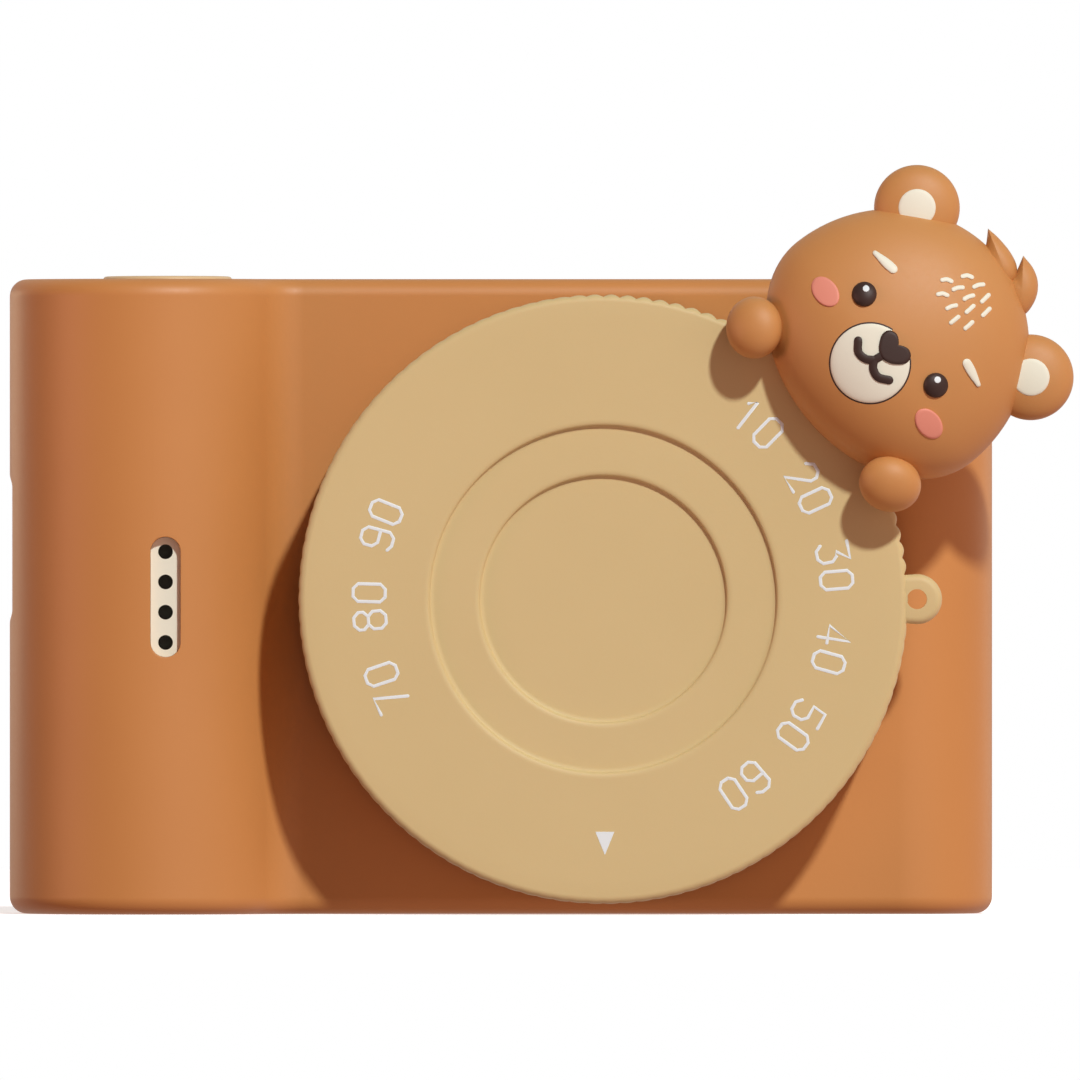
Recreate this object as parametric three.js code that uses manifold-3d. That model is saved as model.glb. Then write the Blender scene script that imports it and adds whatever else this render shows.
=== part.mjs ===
// A kids' digital camera with a soft lens cap that carries a bear's head.
// Millimetres. The front of the camera faces -Y, +X is to the right seen from the front, +Z is up.
// The origin is the middle of the flat underside of the body.

import * as THREE from 'three';
import { mergeVertices } from 'three/addons/utils/BufferGeometryUtils.js';
import Module from 'manifold-3d';

const wasm = await Module();
wasm.setup();

// Driving dimensions

const ROUND = { lens: 40, small: 20, post: 12, screw: 10 }; // sides of round pieces

const BODY = { half: 49.2, height: 63.5, front: -10, rear: 11, edge: 2, wall: 2 };
const GRIP = { x: -34.95, y: -3.25, r: 14.25, blend: 5 };
const CORNER = { front: 9.5, rearRight: 6, rearLeft: 5 };
const SPLIT = 4; // the two housings meet in this plane
const FLAT = { depth: 0.28, low: 29, high: 44.1, ramp: 1.4 }; // recessed flat round the port flap

const LENS = { x: 10.2, z: 31.5 };
const CAP = { r: 30.4, bore: 28.2, front: -22.5, rear: -11, step1: 17.5, step2: 12.5, drop: 0.55 };
const RING = { r: 28, bore: 20.5, shelf: 18.5, spigot: 22, front: -20.3 };
const WINDOW = { r: 20.4, front: -14.5, rear: -13.3 };
const EYELET = { x: 41.5, z: 31.7, r: 2.5, hole: 1, front: -22.2, rear: -19.8 };

const BUTTON = { x: -33.4, y: -3.25, r: 6.45, proud: 0.3, flange: 7.1 };
const GRILLE = { x: -33.5, z: 31.7, width: 3, height: 12, hole: 0.75, pitch: 3.02, face: -16.35 };
const PORT = { x: -47.72, y0: -3.1, y1: 3.3, z0: 30.55, z1: 42.55, thick: 1.2 };

const BOARD = { front: 0.4, rear: 1.6 };
const SCREEN = { x0: -11, x1: 41, z0: 12, z1: 54, thick: 1 };
const KEYS = { x: -32, z: 34, flange: 7.7, wall: 9, top: 11.9 };
const HOUSING_SCREWS = [[-21, 5], [-21, 58.5], [43.5, 5], [43.5, 58.5]];
const BOARD_SCREWS = [[-14, 10.5], [-14, 53]];
const KEY_SCREWS = [[-42, 47], [-22, 21]];

// The bear's face has its own axes: A runs across it, B up to the crown, F out of the face.
const BEAR = { x: 39.74, z: 57.34, tilt: 38.1, middle: 24 };
const HEAD = { centre: -2, half: 14, crown: 14.8, chin: 10.1, front: 7.6, back: 5.6 };
const EAR = { r: 4.28, middle: 23.3, half: 2.5, pad: 1.86 };
const EARS = [['right', -9.3, 9.5], ['left', 11, 8]];
const PAW = { long: 3.1, short: 2.8, middle: 25.3, half: 3.3 };
const PAWS = [['right', -9.9, -10.65, -38], ['left', 10.7, -9.6, 38]];

// Finishes

const finish = (color, roughness, metalness = 0) =>
  new THREE.MeshStandardMaterial({ color, roughness, metalness });
const caramel = finish('#c8793f', 0.5);
const caramelSoft = finish('#cb8044', 0.55);
const beige = finish('#d0ac74', 0.55);
const cream = finish('#e6dac2', 0.6);
const coral = finish('#e5806b', 0.55);
const brown = finish('#3a2b26', 0.4);
const black = finish('#141414', 0.5);
const glass = finish('#20262b', 0.05);
const boardGreen = finish('#1f5b3a', 0.5);
const silicone = finish('#d9d9d4', 0.7);
const steel = finish('#b9bcc0', 0.3, 0.9);
const foil = finish('#8f9aa3', 0.45, 0.4);

// Solids: three.js makes the geometry, manifold-3d joins and cuts it

function solid(geometry) {
  const bare = geometry.clone();
  bare.deleteAttribute('normal');
  bare.deleteAttribute('uv');
  const merged = mergeVertices(bare, 1e-4);
  const position = merged.attributes.position;
  const index = merged.index.array;
  const corner = [0, 1, 2].map(() => new THREE.Vector3());
  const kept = [];
  let volume = 0;
  for (let i = 0; i < index.length; i += 3) {
    const [a, b, c] = [index[i], index[i + 1], index[i + 2]];
    if (a === b || b === c || c === a) continue;
    kept.push(a, b, c);
    [a, b, c].forEach((v, k) => corner[k].fromBufferAttribute(position, v));
    volume += corner[0].dot(corner[1].cross(corner[2]));
  }
  if (volume < 0) kept.reverse();
  const triVerts = new Uint32Array(kept);
  return new wasm.Manifold(new wasm.Mesh({ numProp: 3, vertProperties: position.array, triVerts }));
}

const joined = (...pieces) => pieces.reduce((whole, piece) => whole.add(piece));
const cut = (whole, ...tools) => tools.reduce((left, tool) => left.subtract(tool), whole);

const box = (x0, x1, y0, y1, z0, z1) =>
  solid(
    new THREE.BoxGeometry(x1 - x0, y1 - y0, z1 - z0)
      .translate((x0 + x1) / 2, (y0 + y1) / 2, (z0 + z1) / 2),
  );

const profileOf = (pairs) => pairs.map(([r, h]) => new THREE.Vector2(r, h));

// A round piece about an axis along Y through (x, z), from [radius, y] pairs
const turned = (x, z, pairs, segments = ROUND.small) =>
  solid(new THREE.LatheGeometry(profileOf(pairs), segments).translate(x, 0, z));

// A round piece about a vertical axis through (x, y), from [radius, z] pairs
const upright = (x, y, pairs, segments = 24) =>
  solid(new THREE.LatheGeometry(profileOf(pairs), segments).rotateX(Math.PI / 2).translate(x, y, 0));

const disc = (x, z, r, y0, y1, segments = ROUND.small) =>
  turned(x, z, [[0, y0], [r, y0], [r, y1], [0, y1]], segments);

// A flat outline in X-Z, thick from y0 to y1
const slab = (outline, y0, y1) =>
  solid(
    new THREE.ExtrudeGeometry(outline, { depth: y1 - y0, bevelEnabled: false, curveSegments: 6 })
      .rotateX(Math.PI / 2)
      .translate(0, y1, 0),
  );

function arc(cx, cy, r, from, to, steps) {
  const points = [];
  for (let i = 0; i <= steps; i++) {
    const angle = THREE.MathUtils.degToRad(from + ((to - from) * i) / steps);
    points.push(new THREE.Vector2(cx + r * Math.cos(angle), cy + r * Math.sin(angle)));
  }
  return points;
}

function roundedRect(x0, x1, z0, z1, r, steps = 3) {
  return new THREE.Shape([
    ...arc(x1 - r, z0 + r, r, -90, 0, steps),
    ...arc(x1 - r, z1 - r, r, 0, 90, steps),
    ...arc(x0 + r, z1 - r, r, 90, 180, steps),
    ...arc(x0 + r, z0 + r, r, 180, 270, steps),
  ]);
}

const stadium = (x, z, width, height) =>
  roundedRect(x - width / 2, x + width / 2, z - height / 2, z + height / 2, width / 2 - 0.001, 5);

// A piece of a ring, as the arrow keys are
const ringPart = (cx, cz, r0, r1, middle, half) =>
  new THREE.Shape([
    ...arc(cx, cz, r1, middle - half, middle + half, 6),
    ...arc(cx, cz, r0, middle + half, middle - half, 4),
  ]);

const camera = new THREE.Group();

function add(name, material, body) {
  const made = body.getMesh();
  const geometry = new THREE.BufferGeometry();
  geometry.setAttribute('position', new THREE.BufferAttribute(made.vertProperties, 3));
  geometry.setIndex(new THREE.BufferAttribute(made.triVerts, 1));
  geometry.computeVertexNormals();
  const mesh = new THREE.Mesh(geometry, material);
  mesh.name = name;
  camera.add(mesh);
}

// Housings: a plan outline with the grip's half cylinder, drawn inset for the inside of the walls

function plan(inset) {
  const side = BODY.half - inset;
  const front = BODY.front + inset;
  const rear = BODY.rear - inset;
  const hollow = GRIP.blend + inset;
  const reach = GRIP.r + GRIP.blend;
  const drop = GRIP.y - (BODY.front - GRIP.blend);
  const blendX = GRIP.x + Math.sqrt(reach ** 2 - drop ** 2);
  const meet = THREE.MathUtils.radToDeg(Math.atan2(drop, GRIP.x - blendX));
  return new THREE.Shape([
    ...arc(GRIP.x, GRIP.y, GRIP.r - inset, 180, 180 + meet, 15),
    ...arc(blendX, front - hollow, hollow, meet, 90, 5).slice(1),
    ...arc(side - CORNER.front + inset, front + CORNER.front - inset, CORNER.front - inset, 270, 360, 7),
    ...arc(side - CORNER.rearRight + inset, rear - CORNER.rearRight + inset,
      CORNER.rearRight - inset, 0, 90, 4),
    ...arc(-side + CORNER.rearLeft - inset, rear - CORNER.rearLeft + inset,
      CORNER.rearLeft - inset, 90, 180, 3),
  ]);
}

const outerForm = solid(
  new THREE.ExtrudeGeometry(plan(0), {
    depth: BODY.height - 2 * BODY.edge,
    bevelThickness: BODY.edge,
    bevelSize: BODY.edge,
    bevelOffset: -BODY.edge,
    bevelSegments: 2,
  }).translate(0, 0, BODY.edge),
);
const innerForm = solid(
  new THREE.ExtrudeGeometry(plan(BODY.wall), {
    depth: BODY.height - 2 * BODY.wall,
    bevelEnabled: false,
  }).translate(0, 0, BODY.wall),
);
const gripFlat = slab(
  new THREE.Shape(
    [
      [-60, FLAT.low],
      [-BODY.half, FLAT.low],
      [-BODY.half + FLAT.depth, FLAT.low + FLAT.ramp],
      [-BODY.half + FLAT.depth, FLAT.high - FLAT.ramp],
      [-BODY.half, FLAT.high],
      [-60, FLAT.high],
    ].map(([x, z]) => new THREE.Vector2(x, z)),
  ),
  -30,
  30,
);
const frontHalf = box(-60, 60, -30, SPLIT, -5, 70);
const rearHalf = box(-60, 60, SPLIT, 30, -5, 70);

function frontHousing() {
  const posts = joined(
    ...HOUSING_SCREWS.map(([x, z]) => disc(x, z, 2.6, BODY.front + 1, SPLIT, ROUND.post)),
    ...BOARD_SCREWS.map(([x, z]) => disc(x, z, 2.2, BODY.front + 1, BOARD.front, ROUND.post)),
    box(GRILLE.x - 3.5, GRILLE.x + 3.5, -15.6, -14.4, GRILLE.z - 8, GRILLE.z + 8),
    box(PORT.x - 0.5, -46.2, -4.5, SPLIT, 29.5, 43.6),
  ).intersect(outerForm);
  return cut(
    joined(cut(outerForm.intersect(frontHalf), innerForm), posts),
    gripFlat,
    disc(LENS.x, LENS.z, RING.spigot + 0.1, -12, -7, ROUND.lens),
    upright(BUTTON.x, BUTTON.y, [[0, 60], [BUTTON.r + 0.15, 60], [BUTTON.r + 0.15, 65], [0, 65]]),
    slab(stadium(GRILLE.x, GRILLE.z, GRILLE.width, GRILLE.height), -20, -14),
    box(-55, PORT.x, PORT.y0 - 0.4, PORT.y1 + 0.15, PORT.z0 - 0.15, PORT.z1 + 0.15),
    box(-50, -46, -2.4, 0.6, 32.3, 40.8),
    box(-50, -46, 1.5, 3.2, 31, 42.1),
    ...HOUSING_SCREWS.map(([x, z]) => disc(x, z, 1.1, -3, SPLIT + 1, ROUND.screw)),
    ...BOARD_SCREWS.map(([x, z]) => disc(x, z, 0.9, -5, BOARD.front + 1, ROUND.screw)),
  );
}

// The keys on the back: name, opening in the rear wall, cap and flange behind the wall

const ARROWS = [['right', 0], ['up', 90], ['left', 180], ['down', 270]];
const ROUND_KEYS = [
  ['key_ok', KEYS.x, KEYS.z, 4],
  ['power_button', KEYS.x - 1, 52.5, 2.8],
  ['menu_button', KEYS.x - 6, 14.5, 3],
  ['play_button', KEYS.x + 6, 14.5, 3],
];

function rearHousing() {
  const posts = joined(
    ...HOUSING_SCREWS.map(([x, z]) => disc(x, z, 3.2, SPLIT, BODY.rear - 1.5, ROUND.post)),
    ...KEY_SCREWS.map(([x, z]) => disc(x, z, 2.2, 6.4, BODY.rear - 1.5, ROUND.post)),
  ).intersect(outerForm);
  const shell = cut(outerForm.intersect(rearHalf), innerForm);
  const glassPocket = roundedRect(SCREEN.x0 - 0.2, SCREEN.x1 + 0.2, SCREEN.z0 - 0.2, SCREEN.z1 + 0.2, 2);
  return cut(
    joined(shell, posts),
    gripFlat,
    slab(glassPocket, BODY.rear - SCREEN.thick, BODY.rear + 1),
    box(SCREEN.x0 + 1.5, SCREEN.x1 - 1.5, 8, 12, SCREEN.z0 + 2, SCREEN.z1 - 2),
    ...ARROWS.map(([, angle]) => slab(ringPart(KEYS.x, KEYS.z, 5.4, 10, angle, 40), 8, 12)),
    ...ROUND_KEYS.map(([, x, z, r]) => disc(x, z, r + 0.2, 8, 12)),
    ...HOUSING_SCREWS.map(([x, z]) => disc(x, z, 2.3, 8, 12, ROUND.post)),
    ...HOUSING_SCREWS.map(([x, z]) => disc(x, z, 1.1, SPLIT - 1, 9, ROUND.screw)),
    ...KEY_SCREWS.map(([x, z]) => disc(x, z, 0.9, 5, 9.6, ROUND.screw)),
  );
}

add('front_housing', caramel, frontHousing());
add('rear_housing', caramel, rearHousing());

// Lens group

add('lens_ring', caramel, turned(LENS.x, LENS.z, [
  [RING.bore, RING.front],
  [RING.r - 0.4, RING.front],
  [RING.r, RING.front + 0.4],
  [RING.r, BODY.front],
  [RING.spigot, BODY.front],
  [RING.spigot, -7],
  [RING.shelf, -7],
  [RING.shelf, WINDOW.rear],
  [RING.bore, WINDOW.rear],
  [RING.bore, RING.front],
], ROUND.lens));
add('lens_bezel', black, turned(LENS.x, LENS.z, [
  [WINDOW.r, WINDOW.front],
  [WINDOW.r, -19],
  [19.3, -19],
  [17.6, -17.5],
  [17.1, WINDOW.front],
  [WINDOW.r, WINDOW.front],
], 32));
add('lens_window', glass, disc(LENS.x, LENS.z, WINDOW.r, WINDOW.front, WINDOW.rear, 32));
add('objective_barrel', black, turned(LENS.x, LENS.z, [
  [3, -3], [3, -11], [5.2, -11], [5.6, -12.4], [7.8, -12.4], [7.8, -9], [6.9, -9], [6.9, -3], [3, -3],
]));
add('objective_glass', glass, turned(LENS.x, LENS.z, [
  [0, -12.1], [2.6, -11.9], [5, -11.3], [5, -11], [0, -11],
]));
add('lens_holder', black, cut(
  joined(
    box(LENS.x - 9, LENS.x + 9, -2.6, BOARD.front, LENS.z - 9, LENS.z + 9),
    disc(LENS.x, LENS.z, 8.2, -9, -2),
  ),
  disc(LENS.x, LENS.z, 7, -10, -1.2),
  box(LENS.x - 5.5, LENS.x + 5.5, -2, 1, LENS.z - 5.5, LENS.z + 5.5),
));
add('image_sensor', black, box(LENS.x - 4, LENS.x + 4, -0.5, BOARD.front, LENS.z - 4, LENS.z + 4));

// Electronics inside the housings

add('main_board', boardGreen, cut(
  joined(
    box(-45.6, 43, BOARD.front, BOARD.rear, 8, 55.6),
    box(-38, -28, BOARD.front, BOARD.rear, 55, 57.5),
  ),
  ...BOARD_SCREWS.map(([x, z]) => disc(x, z, 0.95, 0, 2, ROUND.screw)),
));
add('battery', foil, slab(roundedRect(21.5, 43.5, 8.5, 55.5, 1.5), -5.6, BOARD.front));
add('lcd_panel', black, box(-13, 43, 6.7, 9, 11.5, 54.5));
add('screen_window', glass, slab(
  roundedRect(SCREEN.x0, SCREEN.x1, SCREEN.z0, SCREEN.z1, 1.8), BODY.rear - SCREEN.thick, BODY.rear,
));
add('key_board', boardGreen, cut(
  box(-44, -20.5, 5.2, 6.4, 9.5, 55),
  ...KEY_SCREWS.map(([x, z]) => disc(x, z, 0.95, 4, 7, ROUND.screw)),
));
add('key_mat', silicone, cut(
  slab(roundedRect(-44, -20.5, 9.5, 55, 1.5), 6.4, 7),
  ...KEY_SCREWS.map(([x, z]) => disc(x, z, 2.5, 6, 8, ROUND.post)),
));
add('usb_socket', steel, cut(
  box(-46.2, -39, -2.2, BOARD.front, 32.55, 40.55),
  box(-47, -40.5, -1.8, 0, 33, 40.1),
));
add('card_socket', steel, cut(
  box(-46.2, -30.5, BOARD.rear, 3.2, 29.8, 43.3),
  box(-47, -31.2, 1.9, 2.9, 30.9, 42.2),
));
add('memory_card', black, box(-46.9, -31.9, 2, 2.8, 31.05, 42.05));
add('shutter_switch', black, joined(
  box(BUTTON.x - 3, BUTTON.x + 3, -5.6, BOARD.front, 52, 57),
  upright(BUTTON.x, BUTTON.y, [[0, 56], [1.5, 56], [1.5, 58.2], [0, 58.2]], 12),
));
add('speaker_grille', cream, cut(
  joined(
    slab(stadium(GRILLE.x, GRILLE.z, GRILLE.width - 0.16, GRILLE.height - 0.16), GRILLE.face, -14.2),
    slab(stadium(GRILLE.x, GRILLE.z, 5.6, 14.6), -14.4, -13.4),
  ),
  ...[-1.5, -0.5, 0.5, 1.5].map((n) =>
    disc(GRILLE.x, GRILLE.z + n * GRILLE.pitch, GRILLE.hole, -18, -13, ROUND.post)),
));
add('speaker', black, turned(GRIP.x, GRILLE.z, [
  [0, -12.6], [4.6, -13], [5.6, -13.4], [6.5, -13.4], [6.5, -11.4], [4.5, -9.4], [0, -9.4],
]));

// Screws: a domed head with its underside at y = seat, and a shank of the given length

function screw(x, z, seat, r, head, height, length, towards) {
  return turned(x, z, [
    [0, seat + towards * height],
    [head - 0.4, seat + towards * height],
    [head, seat + towards * height * 0.5],
    [head, seat],
    [r, seat],
    [r, seat - towards * length],
    [0, seat - towards * length],
  ], ROUND.screw);
}
HOUSING_SCREWS.forEach(([x, z], n) =>
  add(`housing_screw_${n + 1}`, steel, screw(x, z, 8, 1, 2, 1.7, 10, 1)));
BOARD_SCREWS.forEach(([x, z], n) =>
  add(`board_screw_${n + 1}`, steel, screw(x, z, BOARD.rear, 0.8, 1.7, 1, 5, 1)));
KEY_SCREWS.forEach(([x, z], n) =>
  add(`key_board_screw_${n + 1}`, steel, screw(x, z, 5.2, 0.8, 1.7, 1, 4, -1)));

// Buttons and keys: a cap through the wall and a flange that stops against its inside

add('shutter_button', beige, upright(BUTTON.x, BUTTON.y, [
  [0, 58.6],
  [2, 58.6],
  [2, 60.2],
  [BUTTON.flange, 60.2],
  [BUTTON.flange, 61.5],
  [BUTTON.r, 61.5],
  [BUTTON.r, BODY.height],
  [BUTTON.r - 0.15, BODY.height + BUTTON.proud * 0.7],
  [BUTTON.r - 0.5, BODY.height + BUTTON.proud],
  [0, BODY.height + BUTTON.proud],
]));
ROUND_KEYS.forEach(([name, x, z, r]) =>
  add(name, beige, turned(x, z, [
    [0, KEYS.flange],
    [r + 0.6, KEYS.flange],
    [r + 0.6, KEYS.wall],
    [r, KEYS.wall],
    [r, KEYS.top - 0.3],
    [r - 0.3, KEYS.top],
    [0, KEYS.top],
  ])));
ARROWS.forEach(([name, angle]) =>
  add(`key_${name}`, beige, joined(
    slab(ringPart(KEYS.x, KEYS.z, 5, 10.5, angle, 42), KEYS.flange, KEYS.wall),
    slab(ringPart(KEYS.x, KEYS.z, 5.6, 9.8, angle, 38), KEYS.wall - 0.5, KEYS.top),
  )));
add('port_flap', caramelSoft, box(
  PORT.x - PORT.thick, PORT.x, PORT.y0, PORT.y1, PORT.z0, PORT.z1,
));

// Lens cap: a soft cup over the lens ring, two steps sunk in its face, an eyelet at its side

add('lens_cap', beige, cut(
  joined(
    turned(LENS.x, LENS.z, [
      [0, CAP.front + 2 * CAP.drop],
      [CAP.step2 - 0.3, CAP.front + 2 * CAP.drop],
      [CAP.step2 + 0.1, CAP.front + CAP.drop],
      [CAP.step1 - 0.3, CAP.front + CAP.drop],
      [CAP.step1 + 0.1, CAP.front],
      [CAP.r - 0.7, CAP.front],
      [CAP.r - 0.2, CAP.front + 0.2],
      [CAP.r, CAP.front + 0.7],
      [CAP.r, CAP.rear],
      [CAP.bore, CAP.rear],
      [CAP.bore, RING.front],
      [19.8, RING.front],
      [19.4, -19.9],
      [14.8, -19.9],
      [14.4, -19.35],
      [0, -19.35],
    ], ROUND.lens),
    turned(EYELET.x, EYELET.z, [
      [0, EYELET.front],
      [EYELET.r - 0.5, EYELET.front],
      [EYELET.r, EYELET.front + 0.6],
      [EYELET.r, EYELET.rear - 0.6],
      [EYELET.r - 0.5, EYELET.rear],
      [0, EYELET.rear],
    ]),
  ),
  disc(EYELET.x, EYELET.z, EYELET.hole, -24, -18, ROUND.post),
));

// Bear: head, ears, paws and tuft are soft mouldings; its features are separate inlays

const bearFrame = new THREE.Matrix4();
{
  const t = THREE.MathUtils.degToRad(BEAR.tilt);
  bearFrame.makeBasis(
    new THREE.Vector3(Math.sin(t), 0, -Math.cos(t)),
    new THREE.Vector3(Math.cos(t), 0, Math.sin(t)),
    new THREE.Vector3(0, -1, 0),
  );
  bearFrame.setPosition(BEAR.x, 0, BEAR.z);
}

// A ball shaped by a rule that moves each point of a unit sphere, in the bear's A, B, F axes
function moulded(rule, around = 20, along = 12) {
  const ball = new THREE.SphereGeometry(1, around, along).rotateX(Math.PI / 2);
  const position = ball.attributes.position;
  const point = new THREE.Vector3();
  for (let i = 0; i < position.count; i++) {
    point.fromBufferAttribute(position, i);
    position.setXYZ(i, ...rule(point));
  }
  return solid(ball.applyMatrix4(bearFrame));
}

const ellipsoid = (a, b, f, ra, rb, rf, turn = 0, around = 16, along = 10) =>
  moulded((p) => {
    const t = THREE.MathUtils.degToRad(turn);
    const [u, v] = [p.x * ra, p.y * rb];
    return [a + u * Math.cos(t) - v * Math.sin(t), b + u * Math.sin(t) + v * Math.cos(t), f + p.z * rf];
  }, around, along);

// The head's outline: a tall half ellipse above its widest line and a flatter one below it
function headRadius(angle) {
  const tall = Math.sin(angle) >= 0 ? HEAD.crown : HEAD.chin;
  return 1 / Math.hypot(Math.cos(angle) / HEAD.half, Math.sin(angle) / tall);
}

const headForm = (grow) =>
  moulded((p) => {
    const angle = Math.atan2(p.y, p.x);
    const out = Math.hypot(p.x, p.y) * (headRadius(angle) + grow);
    const deep = p.z * ((p.z > 0 ? HEAD.front : HEAD.back) + grow);
    return [out * Math.cos(angle), HEAD.centre + out * Math.sin(angle), BEAR.middle + deep];
  }, 32, 14);

// An outline in the bear's A-B plane, from depth f0 forwards
const inlayBlock = (points, f0, f1 = 40) =>
  solid(
    new THREE.ExtrudeGeometry(new THREE.Shape(points), { depth: f1 - f0, bevelEnabled: false })
      .translate(0, 0, f0)
      .applyMatrix4(bearFrame),
  );

function oval(a, b, ra, rb, turn = 0, steps = 20) {
  const t = THREE.MathUtils.degToRad(turn);
  return arc(0, 0, 1, 0, 360 - 360 / steps, steps - 1).map(
    (p) =>
      new THREE.Vector2(
        a + p.x * ra * Math.cos(t) - p.y * rb * Math.sin(t),
        b + p.x * ra * Math.sin(t) + p.y * rb * Math.cos(t),
      ),
  );
}

const CLEAR = 0.3;
const capSpace = joined(
  disc(LENS.x, LENS.z, CAP.r + CLEAR, CAP.front - 0.15, 10, ROUND.lens),
  box(0, 80, CAP.front + 3, 20, 20, 90),
);
const headGrown = headForm(CLEAR);
const proud = headForm(0.35);
const rightSide = (n) => (n < 0 ? 'right' : 'left');

// Each inlay: name, finish, outline maker taking a growth, depth of its seat
const muzzleAt = [0, -3.8];
const features = [
  ['bear_muzzle', cream, (g) => oval(...muzzleAt, 3.96 + g, 3.96 + g), 29.8],
  ...[-1, 1].flatMap((s) => [
    [`bear_eye_${rightSide(s)}`, brown, (g) => oval(s * 5.77, 0, 1.24 + g, 1.24 + g, 0, 16), 29.4],
    [`bear_cheek_${rightSide(s)}`, coral, (g) => oval(s * 8.35, -2.9, 1.67 + g, 1.2 + g), 27.6],
    [`bear_brow_${rightSide(s)}`, cream,
      (g) => oval(s * 7.1, 3.6, 1.5 + g, 0.38 + g, -s * 10, 12), 28.5],
  ]),
];
const noseOutline = (g) => oval(0, -1.25, 1.75 + g, 1.15 + g, 0, 16);
const noseSeat = 30.4;

const head = cut(headForm(0), capSpace, ...features.map(([, , outline, seat]) =>
  inlayBlock(outline(CLEAR), seat)));
add('bear_head', caramelSoft, cut(head, inlayBlock(noseOutline(CLEAR), noseSeat)));
features.forEach(([name, material, outline, seat]) => {
  const inlay = inlayBlock(outline(0), seat).intersect(proud);
  const whole = name === 'bear_muzzle' ? cut(inlay, inlayBlock(noseOutline(CLEAR), noseSeat)) : inlay;
  add(name, material, whole);
});
add('bear_nose', brown, inlayBlock(noseOutline(0), noseSeat).intersect(headForm(0.7)));

EARS.forEach(([side, a, b]) => {
  const pad = oval(a, b, EAR.pad, EAR.pad);
  const padHole = oval(a, b, EAR.pad + CLEAR, EAR.pad + CLEAR);
  const front = EAR.middle + EAR.half;
  add(`bear_ear_${side}`, caramelSoft, cut(
    ellipsoid(a, b, EAR.middle, EAR.r, EAR.r, EAR.half, 0, 20, 8),
    headGrown,
    inlayBlock(padHole, front - 1),
  ));
  add(`bear_ear_pad_${side}`, cream, cut(inlayBlock(pad, front - 1, front + 0.2), headGrown));
});

PAWS.forEach(([side, a, b, turn]) =>
  add(`bear_paw_${side}`, caramelSoft, cut(
    ellipsoid(a, b, PAW.middle, PAW.long, PAW.short, PAW.half, turn),
    headGrown,
    capSpace,
  )));

// Tuft: two leaves rising from the crown
[
  ['front', [[-2.4, 11.5], [-1.4, 11.5], [1.6, 12], [1.9, 13.4], [-0.6, 14.3], [-3.3, 13.8]]],
  ['back', [[2.5, 11], [5.4, 10.6], [5.9, 12.4], [4.4, 14.2], [1, 14.9], [2.1, 13.4]]],
].forEach(([name, corners]) => {
  const outline = corners.map(([a, b]) => new THREE.Vector2(a, b));
  add(`bear_tuft_${name}`, caramelSoft, cut(
    inlayBlock(outline, BEAR.middle - 0.9, BEAR.middle + 1.1),
    headGrown,
  ));
});

export default camera;
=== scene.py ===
"""Looks of the kids' digital camera: smooth housings, ribbed lens cap with a bear, keys and screen."""

import math

import bmesh
import bpy
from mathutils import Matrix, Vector


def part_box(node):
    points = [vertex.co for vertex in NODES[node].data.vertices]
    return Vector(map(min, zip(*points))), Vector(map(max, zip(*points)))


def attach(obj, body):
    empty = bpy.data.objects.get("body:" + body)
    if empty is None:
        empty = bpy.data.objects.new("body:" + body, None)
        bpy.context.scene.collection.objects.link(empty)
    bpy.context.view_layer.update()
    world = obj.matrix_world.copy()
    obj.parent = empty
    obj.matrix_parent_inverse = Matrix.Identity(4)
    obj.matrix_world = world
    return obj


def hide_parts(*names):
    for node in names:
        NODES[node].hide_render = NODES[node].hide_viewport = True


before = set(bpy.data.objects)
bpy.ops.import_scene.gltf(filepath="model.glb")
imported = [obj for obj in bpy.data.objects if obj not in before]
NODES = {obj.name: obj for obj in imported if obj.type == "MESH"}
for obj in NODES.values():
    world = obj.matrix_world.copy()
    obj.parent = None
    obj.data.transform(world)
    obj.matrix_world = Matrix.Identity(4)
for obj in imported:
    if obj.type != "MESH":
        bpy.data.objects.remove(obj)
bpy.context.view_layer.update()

MM = 0.001


# ---------------------------------------------------------------- dimensions, in millimetres

def span(node):
    """Lowest and highest corner of a CAD node, in millimetres."""
    low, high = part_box(node)
    return [v / MM for v in low], [v / MM for v in high]


def middle_of(low, high, axis):
    """Middle between two corners along one axis."""
    return (low[axis] + high[axis]) / 2


# Corners of the CAD solids
FRONT_HIGH = span("front_housing")[1]
REAR_HIGH = span("rear_housing")[1]
CAP_LOW, CAP_HIGH = span("lens_cap")
RING_LOW, RING_HIGH = span("lens_ring")
BUTTON_LOW, BUTTON_HIGH = span("shutter_button")
GRILLE_LOW, GRILLE_HIGH = span("speaker_grille")
FLAP_LOW, FLAP_HIGH = span("port_flap")
GLASS_LOW, GLASS_HIGH = span("screen_window")

# The body: half its width, its height, the seam, the back, the front wall, the walls and their corners
HALF = FRONT_HIGH[0]
HEIGHT = FRONT_HIGH[2]
SPLIT = FRONT_HIGH[1]
REAR = REAR_HIGH[1]
FRONT = -10.0
EDGE = 1.7
WALL = 2.0
CORNER_FRONT = 9.5
CORNER_REAR_RIGHT = 6.0
CORNER_REAR_LEFT = 5.0

# The seam's groove; a distance past the body, for cutters; where the cutters of the rear openings start
SEAM_HALF = 0.14
SEAM_DEEP = 0.35
BEYOND = 70.0
REAR_CUT = 7.0

# The round grip on the left, and the hollow that joins it to the front wall
GRIP_X, GRIP_Y, GRIP_R = -34.95, -3.25, 14.25
GRIP_CREST = GRIP_Y - GRIP_R
BLEND = 5.0

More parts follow.
